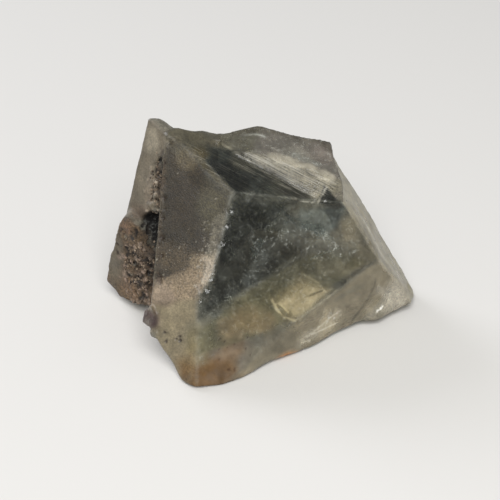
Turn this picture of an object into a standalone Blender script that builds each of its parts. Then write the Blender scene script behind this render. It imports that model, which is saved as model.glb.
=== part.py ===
"""A hand-sized chunk of smoky blue-grey quartz, broken and cleaved into flat facets.

The stone is one piece. It is built from four convex blocks, each trimmed out of a cube by flat
cuts, which are then joined: the front block with its big clear face, the crown behind it, the
left block and the left foot. Three wedges shape the front left, the rear and the back. A crevice,
pits, chips, dents, growth grooves and a shell-like fracture are cut into the joined stone last.

Every facet is named and given by three corners, in millimetres. X is to the right, Y is away
from the front, Z is up, and the origin is on the flat base.
"""
import math
import random

import bpy
import bmesh
from mathutils import Matrix, Vector, noise
from mathutils.bvhtree import BVHTree

MM = 0.001

STONE_NAME = "quartz"
BLANK_SIZE = 140.0        # edge of the cube that each block is trimmed from
EDGE_WEAR = 0.28          # width of the worn strip along every edge
WEAR_ANGLE = 12.0         # edges flatter than this many degrees stay unworn
WELD_REACH = 0.01         # points closer than this are joined after each joining or cutting
LUMP_ROUGHNESS = 0.6      # how uneven the lumps, hollows and chips are, as a share of their size
HOLLOW_ROUGHNESS = 0.7
CHIP_ROUGHNESS = 0.5
DENT_ROUGHNESS = 0.4
SEED = 7

# Corners of the stone, in millimetres.
CORNERS = {
    # front block
    "peak": (-3.2, -1.0, 30.2),
    "foot": (-9.5, -17.9, 0.0),
    "shoulder": (17.2, 4.5, 24.3),
    "leftTop": (-13.5, 6.0, 36.0),
    "bend": (-9.2, -11.1, 14.2),
    "hipTop": (-18.4, -9.1, 11.6),
    "hipCorner": (-18.8, -10.1, 9.2),
    "hipLow": (-12.5, -16.7, 0.5),
    "hipUnder": (-15.5, 2.0, 0.0),
    "cheekTop": (23.8, 2.0, 13.4),
    "cheekLow": (-1.8, -14.0, 1.8),
    "toe": (30.9, 5.4, 2.0),
    "toeTop": (23.2, 1.3, 8.6),
    "toeLow": (19.2, -1.6, 1.9),
    "toeTurned": (30.9, 6.1, 1.6),
    "underStart": (4.0, -10.8, 0.0),
    "underRight": (19.3, -1.5, 0.9),
    "underBack": (26.0, 12.0, 0.0),
    "bandLeft": (-13.5, 5.6, 36.6),
    "bandRight": (-7.0, 6.9, 34.6),
    "apex": (-17.1, 11.0, 37.8),
    "creviceTop": (-15.3, 5.7, 34.7),
    "creviceBack": (-14.5, 18.0, 20.0),
    "ledgeRight": (-5.5, -6.3, 21.0),
    "ledgeLeft": (-17.5, -7.5, 13.7),
    # back of the front block
    "backToeRight": (25.0, 16.5, 0.0),
    "backBelt": (5.0, 21.0, 16.0),
    "backBeltRight": (18.0, 19.6, 12.0),
    "backToe": (4.0, 18.6, 0.0),
    "backToeLeft": (-13.0, 17.5, 0.0),
    "backLeftTop": (-5.0, 13.0, 34.0),
    "rightTop": (15.6, 14.5, 30.2),
    "rightEdge": (17.2, 6.2, 27.4),
    "rightHeel": (30.6, 10.5, 2.8),
    # crown
    "ridgeLeft": (-3.4, 6.9, 33.2),
    "ridgeRight": (9.4, 4.0, 27.2),
    "crestLeft": (3.6, 7.5, 32.2),
    "crestRight": (15.7, 6.3, 28.0),
    "crestEnd": (16.8, 6.2, 27.7),
    "crown": (2.2, 15.0, 34.5),
    "crownRight": (14.6, 15.1, 30.6),
    "saddle": (-5.4, 11.9, 34.1),
    "saddleLow": (-5.0, 6.0, 30.0),
    "saddleBack": (-7.5, 14.0, 30.0),
    "bedLeft": (-3.5, 4.4, 31.4),
    "bedRight": (10.0, 2.4, 25.6),
    "bedBack": (5.0, 18.0, 8.0),
    # left block
    "flankTop": (-15.4, 6.5, 34.3),
    "flankLow": (-18.0, 4.0, 21.9),
    "flankLeft": (-21.2, 9.0, 25.3),
    "flankBack": (-18.6, 11.2, 37.0),
    "flankBackLow": (-22.2, 9.0, 22.6),
    "flankBackToe": (-21.5, 17.0, 8.0),
    "rearRight": (-13.0, 14.0, 30.0),
    "rearLeft": (-18.0, 12.2, 36.0),
    "rearLow": (-15.0, 17.5, 10.0),
    "breakTop": (-18.6, 12.4, 37.0),
    "breakLeft": (-27.8, 10.4, 5.0),
    "breakRight": (-8.0, 18.6, 5.0),
    "shelfLeft": (-6.0, 20.0, 10.5),
    "shelfRight": (18.0, 20.0, 6.5),
    "shelfIn": (6.0, 10.0, 9.5),
    # left foot
    "stubRight": (-18.2, 1.0, 18.5),
    "stubLow": (-20.2, 3.0, 3.4),
    "stubLeft": (-26.0, 7.5, 11.7),
    "stubTop": (-23.4, 5.2, 21.2),
    "stubTopBack": (-21.0, 12.0, 21.5),
    "stubOuter": (-27.6, 9.0, 5.5),
    "stubOuterBack": (-25.0, 14.0, 6.0),
    "stubHeel": (-26.6, 8.2, 2.1),
    "stubUnder": (-25.0, 6.9, 1.4),
    "stubUnderRight": (-19.0, 2.4, 2.6),
    "stubUnderBack": (-22.0, 9.5, 0.0),
    "stubInner": (-12.0, 4.0, 3.0),
    "stubInnerBack": (-12.0, 14.0, 3.0),
    "stubInnerTop": (-13.0, 9.0, 19.0),
}

# Each facet is the plane through three corners, set back by a fourth value where it has one.
FRONT_BLOCK = {
    "front": ("peak", "foot", "shoulder"),
    "lowerLeft": ("bend", "foot", "hipTop"),
    "leftUnder": ("hipCorner", "hipLow", "hipUnder"),
    "left": ("creviceTop", "ledgeLeft", "creviceBack"),
    "shoulderSlope": ("peak", "shoulder", "bandRight"),
    "band": ("bandLeft", "bandRight", "apex"),
    "cheek": ("cheekTop", "cheekLow", "toe"),
    "toeFace": ("toeTop", "toeLow", "toeTurned"),
    "underRight": ("underStart", "underRight", "underBack"),
    "rightFront": ("shoulder", "cheekTop", "toe"),
    "rightBack": ("rightEdge", "rightTop", "rightHeel"),
    "backRight": ("rightTop", "rightHeel", "backToeRight"),
    "back": ("crown", "crownRight", "backBelt"),
    "backLow": ("backBelt", "backBeltRight", "backToe"),
    "backLeft": ("backBelt", "backToeLeft", "backLeftTop"),
}
FRONT_LEFT_CUT = {
    "frontLeft": ("peak", "ledgeRight", "leftTop"),
    "ledge": ("ledgeRight", "bend", "ledgeLeft"),
}
CROWN = {
    "striated": ("ridgeLeft", "ridgeRight", "crestLeft"),
    "top": ("crestLeft", "crestRight", "crown"),
    "saddle": ("crown", "saddle", "ridgeLeft"),
    "front": ("peak", "foot", "shoulder", 0.2),
    "left": ("saddleLow", "saddleBack", "saddle"),
    "bed": ("bedLeft", "bedRight", "bedBack"),
    "side": ("crestEnd", "crownRight", "shoulder"),
    "backRight": ("rightTop", "rightHeel", "backToeRight", 0.4),
    "back": ("crown", "crownRight", "backBelt", 0.3),
    "backLeft": ("backBelt", "backToeLeft", "backLeftTop", 0.5),
}
LEFT_BLOCK = {
    "band": ("bandLeft", "bandRight", "apex", 0.3),
    "flank": ("flankTop", "flankLow", "flankLeft"),
    "flankBack": ("flankBack", "flankBackLow", "flankBackToe"),
    "rear": ("rearRight", "rearLeft", "rearLow"),
}
LEFT_FOOT = {
    "stub": ("stubRight", "stubLow", "stubLeft"),
    "stubTop": ("stubTop", "stubTopBack", "stubRight"),
    "stubOuter": ("stubTop", "stubOuter", "stubOuterBack"),
    "stubUnder": ("stubUnder", "stubUnderRight", "stubUnderBack"),
    "stubHeel": ("stubHeel", "stubUnder", "stubUnderBack"),
    "rear": ("flankBackLow", "stubOuterBack", "flankBackToe"),
    "inner": ("stubInner", "stubInnerBack", "stubInnerTop"),
    "backLeft": ("backBelt", "backToeLeft", "backLeftTop", 1.0),
}
# One late break that runs across the left block, the left foot and the front block.
REAR_BREAK = {
    "rearBreak": ("breakTop", "breakLeft", "breakRight"),
}
# A cleavage step at the back, below which a slab is gone.
BACK_SHELF = {
    "shelfFace": ("backBelt", "backBeltRight", "backToe", -1.1),
    "shelfEdge": ("shelfLeft", "shelfRight", "shelfIn"),
}
# A point inside each block, which tells its facets' inner side, and the height of its flat base.
HEARTS = {
    "front_block": ((0.0, 4.0, 12.0), 0.0), "front_left_cut": ((-30.0, -30.0, 40.0), 0.0),
    "crown_block": ((6.0, 12.0, 26.0), 17.0), "back_shelf": ((5.0, 50.0, -10.0), -30.0),
    "left_block": ((-18.0, 10.0, 24.0), 17.0), "left_foot": ((-20.0, 9.0, 10.0), 0.6),
    "rear_break": ((-60.0, 60.0, 20.0), -20.0),
}
LEFT_BLOCK_OVERLAP = 1.0  # how far the left block reaches past the crevice into the front block

# Hollows of the crevice between the left block and the front block: place and radius.
CREVICE = [
    ((-15.9, 6.0, 32.6), 0.7), ((-16.2, 5.7, 31.2), 1.0), ((-16.4, 5.2, 29.4), 0.7),
    ((-16.5, 4.5, 27.4), 0.6), ((-16.7, 3.6, 25.2), 0.7), ((-16.9, 2.8, 23.2), 1.1),
    ((-17.5, 2.9, 21.3), 2.2), ((-18.8, 3.0, 20.0), 1.5), ((-17.3, 1.6, 18.8), 2.1),
    ((-17.5, 0.4, 16.8), 1.0), ((-17.9, 0.7, 14.4), 0.8), ((-18.3, 1.0, 12.2), 0.9),
    ((-18.6, 1.2, 10.2), 1.1), ((-19.0, 1.7, 8.0), 0.8),
]
# Chips along the sharp edges: place and radius.
CHIPS = [
    ((-3.5, -2.6, 27.4), 0.6), ((-4.2, -3.9, 24.9), 0.5), ((-5.0, -5.4, 22.6), 0.7),
    ((-6.3, -7.8, 19.0), 0.9), ((-6.9, -8.7, 17.5), 0.8), ((-7.9, -10.0, 15.8), 1.0),
    ((-8.9, -11.2, 14.3), 0.7), ((-9.6, -15.0, 6.5), 0.6), ((19.6, 3.5, 20.9), 0.5),
    ((22.0, 2.8, 16.6), 0.6), ((27.6, 4.1, 7.6), 0.7), ((30.6, 8.8, 3.6), 1.0),
    ((1.2, 0.4, 29.1), 0.4), ((9.0, 2.4, 26.8), 0.5), ((-14.4, 5.9, 36.2), 0.9),
]
CREVICE_TURN = 30.0       # turn of the crevice's hollows about Z, in degrees
CHIP_STRETCH = 1.4        # chips and pits are taller than wide
PIT_STRETCH = 1.2
# Pits of the porous flank: middle of the patch, its width and height, how many, and their radii.
PIT_INWARD = (0.55, 0.75, -0.1)
PIT_FIELDS = {
    "pit": ((-21.0, 3.4, 11.0), 7.0, 16.0, 30, (0.3, 0.65)),
    "high_pit": ((-17.4, 5.0, 27.0), 2.6, 10.0, 8, (0.25, 0.5)),
}
# Shallow dents in the hidden sides: place, half sizes and a turn about Z in degrees.
DENTS = [
    ((7.5, 3.5, -0.1), (5.0, 3.2, 0.7), 25.0), ((-8.5, -5.0, -0.1), (3.4, 4.6, 0.6), 60.0),
    ((18.5, 9.0, 0.1), (3.6, 2.4, 0.7), 10.0), ((-4.0, 11.0, -0.1), (2.6, 3.6, 0.6), 80.0),
    ((5.2, 21.2, 16.2), (1.8, 1.0, 1.3), 0.0), ((11.5, 20.9, 14.3), (1.2, 0.9, 1.0), 30.0),
    ((4.5, 18.4, 0.1), (1.6, 1.2, 0.9), 15.0), ((24.6, 16.4, 0.3), (1.3, 1.3, 1.6), 45.0),
    ((-7.6, 16.2, 25.6), (1.2, 0.9, 1.6), 20.0), ((-21.8, 10.6, 20.6), (0.9, 1.1, 1.0), 35.0),
]
# Lumps that stand out of the stone: place, half sizes and a turn about Z in degrees.
LUMPS = [
    ((-17.9, -9.7, 9.4), (1.5, 1.3, 2.5), 20.0), ((-16.9, -11.2, 6.8), (1.0, 1.0, 1.4), 50.0),
    ((-19.4, 2.6, 14.6), (0.9, 0.7, 0.8), 15.0), ((-20.8, 3.8, 12.4), (0.8, 0.7, 1.0), 70.0),
    ((-19.6, 2.8, 10.6), (0.7, 0.8, 0.6), 40.0), ((-21.8, 4.6, 8.6), (1.0, 0.8, 0.7), 10.0),
    ((-20.2, 3.4, 6.6), (0.8, 0.6, 0.8), 60.0), ((-22.8, 5.4, 6.2), (0.9, 0.8, 0.6), 35.0),
    ((-16.6, 4.9, 28.4), (0.5, 0.6, 0.8), 30.0), ((-17.0, 4.2, 25.8), (0.6, 0.6, 0.7), 65.0),
    ((-18.1, 4.8, 24.0), (0.8, 0.9, 0.7), 25.0), ((-6.3, 9.3, 34.3), (1.3, 1.2, 0.5), 15.0),
]
# Growth grooves: along the crown's ridge, their spacing as a share of the face's height, and
# along the right edge, their distances from it.
GROOVE_COUNT = 11
GROOVE_FIRST, GROOVE_STEP = 0.04, 0.088
GROOVE_START, GROOVE_END = (0.02, 0.30), (0.75, 1.15)
GROOVE_RADIUS = (0.12, 0.2)
EDGE_GROOVES = (0.9, 1.7, 2.4)
EDGE_GROOVE_RADIUS = 0.2
# The shell-like fracture: a turned bowl with rings, its tilt in degrees and its place.
SHELL_REACH, SHELL_DEPTH = 14.0, 2.7
SHELL_RING, SHELL_SWELL = 2.6, 0.13
SHELL_RINGS_IN_PROFILE, SHELL_TURNS = 18, 28
SHELL_BACK = -6.0
SHELL_TILT, SHELL_PLACE = (98.0, 0.0, -24.0), (17.0, 20.6, 11.0)


def corner(name):
    """The named corner, in metres."""
    return Vector(CORNERS[name]) * MM


def clear_scene():
    """Start from an empty scene."""
    for old in list(bpy.data.objects):
        bpy.data.objects.remove(old, do_unlink=True)


def new_collection(name):
    """Add a collection to the scene."""
    collection = bpy.data.collections.new(name)
    bpy.context.scene.collection.children.link(collection)
    return collection


def trim(bm, point, normal):
    """Cut away what lies outside a plane and close the cut with a flat face."""
    geometry = bm.verts[:] + bm.edges[:] + bm.faces[:]
    cut = bmesh.ops.bisect_plane(bm, geom=geometry, dist=1e-7, plane_co=point,
                                 plane_no=normal, clear_outer=True)
    rim = [item for item in cut["geom_cut"] if isinstance(item, bmesh.types.BMEdge)]
    if rim:
        bmesh.ops.holes_fill(bm, edges=rim, sides=0)


def facet_plane(facet, middle):
    """A facet's point and its normal, which points away from the middle of its block."""
    first, second, third = (corner(name) for name in facet[:3])
    normal = (second - first).cross(third - first).normalized()
    if normal.dot(middle - first) > 0.0:
        normal.negate()
    inset = facet[3] if len(facet) > 3 else 0.0
    return first - normal * inset * MM, normal


def block(name, facets, collection, worn=True):
    """A convex block: a cube trimmed by its facets and by a flat base, its edges a little worn."""
    heart, base = HEARTS[name]
    middle = Vector(heart) * MM
    bm = bmesh.new()
    bmesh.ops.create_cube(bm, size=BLANK_SIZE * MM)
    for facet in facets.values():
        trim(bm, *facet_plane(facet, middle))
    trim(bm, Vector((0.0, 0.0, base * MM)), Vector((0.0, 0.0, -1.0)))
    bmesh.ops.recalc_face_normals(bm, faces=bm.faces)
    mesh = bpy.data.meshes.new(name)
    bm.to_mesh(mesh)
    bm.free()
    made = bpy.data.objects.new(name, mesh)
    collection.objects.link(made)
    if worn:
        wear = made.modifiers.new("edge_wear", "BEVEL")
        wear.width = EDGE_WEAR * MM
        wear.segments = 2
        wear.limit_method = "ANGLE"
        wear.angle_limit = math.radians(WEAR_ANGLE)
    return made


def weld(target, name):
    """Join points that a Boolean left on top of each other."""
    modifier = target.modifiers.new(name, "WELD")
    modifier.merge_threshold = WELD_REACH * MM


def make_helper(helper):
    """Mark an object as one that only shapes another."""
    helper.hide_render = True
    helper.display_type = "WIRE"


def boolean(target, helper, operation):
    """Join a helper to the target or cut it away."""
    make_helper(helper)
    modifier = target.modifiers.new(helper.name, "BOOLEAN")
    modifier.object = helper
    modifier.operation = operation
    modifier.solver = "EXACT"


def boolean_all(target, collection, operation):
    """Join every helper of a collection to the target, or cut all of them away."""
    for helper in collection.objects:
        make_helper(helper)
    modifier = target.modifiers.new(collection.name, "BOOLEAN")
    modifier.operand_type = "COLLECTION"
    modifier.collection = collection
    modifier.operation = operation
    modifier.solver = "EXACT"


def rubble(name, centre, sizes, turn, roughness, detail, rng, collection):
    """An uneven grain: an icosphere stretched to its sizes, its points pushed in and out."""
    bm = bmesh.new()
    bmesh.ops.create_icosphere(bm, subdivisions=detail, radius=1.0)
    offset = Vector((rng.uniform(0, 50), rng.uniform(0, 50), rng.uniform(0, 50)))
    for vert in bm.verts:
        vert.co *= 1.0 + roughness * noise.noise(vert.co * 1.3 + offset)
    bmesh.ops.scale(bm, verts=bm.verts, vec=Vector(sizes) * MM)
    spin = Matrix.Rotation(math.radians(turn), 3, "Z") @ Matrix.Rotation(rng.uniform(0, 3), 3, "X")
    bmesh.ops.rotate(bm, verts=bm.verts, cent=(0, 0, 0), matrix=spin)
    mesh = bpy.data.meshes.new(name)
    bm.to_mesh(mesh)
    bm.free()
    grain = bpy.data.objects.new(name, mesh)
    grain.location = Vector(centre) * MM
    collection.objects.link(grain)
    return grain


def surface_of(stone):
    """The stone as modelled so far, to send rays at."""
    return BVHTree.FromObject(stone, bpy.context.evaluated_depsgraph_get())


def pit_field(surface, name, rng, collection):
    """Pits scattered over a patch that faces the front left: rays find where each one sits."""
    middle, across, height, count, sizes = PIT_FIELDS[name]
    inward = Vector(PIT_INWARD).normalized()
    sideways = inward.cross(Vector((0, 0, 1))).normalized()
    for number in range(count):
        start = Vector(middle) * MM - inward * BLANK_SIZE / 4 * MM
        start += sideways * rng.uniform(-0.5, 0.5) * across * MM
        start.z += rng.uniform(-0.5, 0.5) * height * MM
        place = surface.ray_cast(start, inward)[0]
        radius = rng.uniform(*sizes)
        if place is not None:
            rubble(f"{name}_{number:02d}", place / MM, (radius, radius, radius * PIT_STRETCH),
                   rng.uniform(0, 180), CHIP_ROUGHNESS, 1, rng, collection)


def groove(name, start, end, radius, collection):
    """A thin straight groove: a three-sided bar laid along the surface."""
    bm = bmesh.new()
    run = Vector(end) - Vector(start)
    bmesh.ops.create_cone(bm, cap_ends=True, segments=3, radius1=radius * MM,
                          radius2=radius * 0.5 * MM, depth=run.length * MM)
    mesh = bpy.data.meshes.new(name)
    bm.to_mesh(mesh)
    bm.free()
    bar = bpy.data.objects.new(name, mesh)
    bar.rotation_mode = "QUATERNION"
    bar.rotation_quaternion = run.to_track_quat("Z", "Y")
    bar.location = (Vector(start) + Vector(end)) / 2 * MM
    collection.objects.link(bar)
    return bar


def striations(rng, collection):
    """Growth grooves side by side along the ridge, and a few along the right edge."""
    left, right = Vector(CORNERS["ridgeLeft"]), Vector(CORNERS["ridgeRight"])
    crest = Vector(CORNERS["crestLeft"]) - left.lerp(right, 0.5)
    for number in range(GROOVE_COUNT):
        rise = crest * (GROOVE_FIRST + GROOVE_STEP * number)
        start = left.lerp(right, rng.uniform(*GROOVE_START)) + rise
        end = left.lerp(right, rng.uniform(*GROOVE_END)) + rise
        groove(f"groove_{number:02d}", start, end, rng.uniform(*GROOVE_RADIUS), collection)
    top, low, toe = (Vector(CORNERS[name]) for name in ("shoulder", "cheekTop", "toe"))
    runs = {"band": (top.lerp(low, 0.04), low), "low_band": (low, low.lerp(toe, 0.8))}
    for number, step in enumerate(EDGE_GROOVES):
        shift = Vector((0.0, step, 0.0))
        for name, (start, end) in runs.items():
            groove(f"{name}_{number:02d}", start + shift, end + shift, EDGE_GROOVE_RADIUS, collection)


def shell_fracture(collection):
    """A shallow bowl with rings, as a conchoidal break leaves: a turned, rippled lens."""
    profile = [(0.0, 0.0, SHELL_DEPTH)]
    for number in range(1, SHELL_RINGS_IN_PROFILE):
        radius = SHELL_REACH * number / SHELL_RINGS_IN_PROFILE
        dome = SHELL_DEPTH * (1.0 - (radius / SHELL_REACH) ** 2)
        ripple = SHELL_SWELL * math.sin(2.0 * math.pi * radius / SHELL_RING)
        profile.append((radius, 0.0, dome + ripple))
    profile.append((SHELL_REACH, 0.0, 0.0))
    profile.append((SHELL_REACH * 0.9, 0.0, SHELL_BACK))
    profile.append((0.0, 0.0, SHELL_BACK))
    mesh = bpy.data.meshes.new("shell_fracture")
    points = [Vector(point) * MM for point in profile]
    mesh.from_pydata(points, [(n, n + 1) for n in range(len(points) - 1)], [])
    bowl = bpy.data.objects.new("shell_fracture", mesh)
    screw = bowl.modifiers.new("turn", "SCREW")
    screw.steps = screw.render_steps = SHELL_TURNS
    screw.use_merge_vertices = True
    screw.merge_threshold = 0.00001
    bowl.rotation_euler = [math.radians(angle) for angle in SHELL_TILT]
    bowl.location = Vector(SHELL_PLACE) * MM
    collection.objects.link(bowl)


def quartz_material():
    """Clear smoky quartz with a frosted skin."""
    material = bpy.data.materials.new("smoky_quartz")
    material.use_nodes = True
    shader = material.node_tree.nodes["Principled BSDF"]
    shader.inputs["Base Color"].default_value = (0.17, 0.165, 0.14, 1.0)
    shader.inputs["Roughness"].default_value = 0.35
    shader.inputs["Metallic"].default_value = 0.0
    shader.inputs["IOR"].default_value = 1.544
    shader.inputs["Transmission Weight"].default_value = 0.5
    return material


def join_blocks(stone, helpers):
    """Join the blocks to the front block, with the wedges cut away between them."""
    boolean(stone, block("front_left_cut", FRONT_LEFT_CUT, helpers, worn=False), "DIFFERENCE")
    boolean(stone, block("crown_block", CROWN, helpers), "UNION")
    weld(stone, "weld_crown")
    boolean(stone, block("back_shelf", BACK_SHELF, helpers, worn=False), "DIFFERENCE")
    weld(stone, "weld_shelf")
    left_block = dict(LEFT_BLOCK)
    left_block["crevice"] = FRONT_BLOCK["left"] + (-LEFT_BLOCK_OVERLAP,)
    boolean(stone, block("left_block", left_block, helpers), "UNION")
    boolean(stone, block("left_foot", LEFT_FOOT, helpers), "UNION")
    boolean(stone, block("rear_break", REAR_BREAK, helpers, worn=False), "DIFFERENCE")
    weld(stone, "weld_blocks")


def add_lumps(stone, rng, lumps):
    """Join the lumps of crust to the stone."""
    for number, (place, sizes, turn) in enumerate(LUMPS):
        rubble(f"lump_{number:02d}", place, sizes, turn, LUMP_ROUGHNESS, 1, rng, lumps)
    boolean_all(stone, lumps, "UNION")
    weld(stone, "weld_lumps")


def cut_hollows(stone, rng, hollows):
    """Cut the crevice, chips, dents, pits, grooves and the shell-like fracture."""
    surface = surface_of(stone)
    for number, (place, radius) in enumerate(CREVICE):
        sizes = (radius, radius * 1.3, radius)
        rubble(f"crevice_{number:02d}", place, sizes, CREVICE_TURN, HOLLOW_ROUGHNESS, 2, rng, hollows)
    for number, (place, radius) in enumerate(CHIPS):
        sizes = (radius, radius, radius * CHIP_STRETCH)
        rubble(f"chip_{number:02d}", place, sizes, 0.0, CHIP_ROUGHNESS, 1, rng, hollows)
    for number, (place, sizes, turn) in enumerate(DENTS):
        rubble(f"dent_{number:02d}", place, sizes, turn, DENT_ROUGHNESS, 2, rng, hollows)
    for name in PIT_FIELDS:
        pit_field(surface, name, rng, hollows)
    striations(rng, hollows)
    shell_fracture(hollows)
    boolean_all(stone, hollows, "DIFFERENCE")
    weld(stone, "weld_hollows")


def main():
    """Build the stone."""
    clear_scene()
    rng = random.Random(SEED)
    stone = block("front_block", FRONT_BLOCK, new_collection("blue_quartz"))
    stone.name = STONE_NAME
    stone.data.materials.append(quartz_material())
    join_blocks(stone, new_collection("helpers"))
    add_lumps(stone, rng, new_collection("lumps"))
    cut_hollows(stone, rng, new_collection("hollows"))


main()
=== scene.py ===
import itertools
import math
import bpy
import bmesh
import numpy as np
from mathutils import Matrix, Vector
from mathutils.bvhtree import BVHTree


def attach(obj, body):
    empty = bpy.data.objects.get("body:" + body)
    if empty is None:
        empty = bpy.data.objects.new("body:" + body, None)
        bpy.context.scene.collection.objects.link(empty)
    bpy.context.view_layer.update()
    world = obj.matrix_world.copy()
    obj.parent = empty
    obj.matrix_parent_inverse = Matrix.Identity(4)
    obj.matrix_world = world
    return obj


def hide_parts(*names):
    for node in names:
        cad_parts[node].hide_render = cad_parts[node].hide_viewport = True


# A chunk of smoky blue-grey quartz: one clear, cleaved stone with a frosted skin, iron-stained
# crust in its crevice, and healed cracks inside it. Sizes are in millimetres.

mm = 0.001
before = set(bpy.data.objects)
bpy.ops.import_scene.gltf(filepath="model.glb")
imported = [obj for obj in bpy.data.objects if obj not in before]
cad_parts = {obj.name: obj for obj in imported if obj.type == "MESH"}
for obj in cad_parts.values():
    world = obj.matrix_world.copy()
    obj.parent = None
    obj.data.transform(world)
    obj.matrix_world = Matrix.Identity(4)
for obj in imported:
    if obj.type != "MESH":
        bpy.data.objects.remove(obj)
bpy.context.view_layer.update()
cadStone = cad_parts["quartz"]


def toLinear(hexColour):
    # an sRGB hex colour as the linear values that shaders take
    parts = [int(hexColour[i:i + 2], 16) / 255 for i in (1, 3, 5)]
    return np.array([p / 12.92 if p <= 0.04045 else ((p + 0.055) / 1.055) ** 2.4 for p in parts])


def setInputs(tree, node, inputs):
    # an input gets a plain value or a hex colour, or a link from a socket or a node's first output
    for name, value in inputs.items():
        if isinstance(value, bpy.types.Node):
            value = value.outputs[0]
        if isinstance(value, bpy.types.NodeSocket):
            tree.links.new(value, node.inputs[name])
        elif isinstance(value, str):
            node.inputs[name].default_value = [*toLinear(value), 1]
        else:
            node.inputs[name].default_value = value


def addNode(tree, kind, settings=None, inputs=None):
    # a new node with its settings and its inputs
    made = tree.nodes.new(kind)
    for name, value in (settings or {}).items():
        setattr(made, name, value)
    setInputs(tree, made, inputs or {})
    return made


def newMaterial(name):
    material = bpy.data.materials.new(name)
    material.use_nodes = True
    tree = material.node_tree
    return material, tree, tree.nodes["Principled BSDF"]


def newPiece(name, mesh):
    piece = bpy.data.objects.new(name, mesh)
    bpy.context.scene.collection.objects.link(piece)
    return piece


def bakeModifiers(piece):
    # the piece gets the mesh that its modifiers make, and loses them
    graph = bpy.context.evaluated_depsgraph_get()
    mesh = bpy.data.meshes.new_from_object(piece.evaluated_get(graph), depsgraph=graph)
    piece.modifiers.clear()
    piece.data = mesh


def softNoise(points, size, seed):
    # smooth random values from -1 to 1, one for each point; size is the width of a blotch
    cells = points / size
    low = np.floor(cells).astype(np.int64)
    part = cells - low
    part = part * part * (3 - 2 * part)
    total = np.zeros(len(points))
    # each corner of a cell gets its value from its whole-number place, mixed by large odd numbers
    for step in itertools.product((0, 1), repeat=3):
        x, y, z = (low + step).T
        mixed = (x * 73856093) ^ (y * 19349663) ^ (z * 83492791) ^ (seed * 2654435761)
        mixed = (mixed ^ (mixed >> 13)) * 1274126177
        value = ((mixed ^ (mixed >> 16)) & 65535) / 32767.5 - 1
        total += value * np.prod(np.where(step, part, 1 - part), axis=1)
    return total


def layeredNoise(points, size, seed, layers=3):
    # noise at several sizes, each half as wide and half as strong as the one before
    total = sum(softNoise(points, size / 2 ** n, seed + n) / 2 ** n for n in range(layers))
    return total / sum(1 / 2 ** n for n in range(layers))


def ramp(values, low, high):
    # 0 below low, 1 above high, and a smooth step between
    part = np.clip((values - low) / (high - low), 0, 1)
    return part * part * (3 - 2 * part)


def lineDistance(points, path):
    # each point's distance to a path of straight runs
    best = np.full(len(points), 1e9)
    for start, end in zip(path[:-1], path[1:]):
        start, run = np.array(start, float), np.array(end, float) - np.array(start, float)
        share = np.clip((points - start) @ run / (run @ run), 0, 1)
        best = np.minimum(best, np.linalg.norm(points - start - share[:, None] * run, axis=1))
    return best


def insideDepth(points, corners):
    # how far inside a flat convex outline each point lies, and how far off its plane
    corners = np.array(corners, float)
    middle = corners.mean(axis=0)
    normal = np.cross(corners[1] - corners[0], corners[2] - corners[1])
    normal /= np.linalg.norm(normal)
    depth = np.full(len(points), 1e9)
    for start, end in zip(corners, np.roll(corners, -1, axis=0)):
        inward = np.cross(normal, end - start)
        inward /= np.linalg.norm(inward)
        inward *= np.sign((middle - start) @ inward)
        depth = np.minimum(depth, (points - start) @ inward)
    return depth, np.abs((points - middle) @ normal)


def spread(values, edges, rounds, share=1.0):
    # each point's values drawn towards the mean of its neighbours, again and again
    first, second = edges.T
    count = np.bincount(edges.ravel(), minlength=len(values))[:, None]
    for _ in range(rounds):
        total = np.column_stack([
            np.bincount(first, column[second], len(values)) +
            np.bincount(second, column[first], len(values)) for column in values.T])
        values = values + share * (total / count - values)
    return values


def look(tone, strength=1.0, **others):
    # how a place on the skin looks: its colour, how strongly that covers, where it is and what it has
    return {"tone": tone, "strength": strength, **others}


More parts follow.
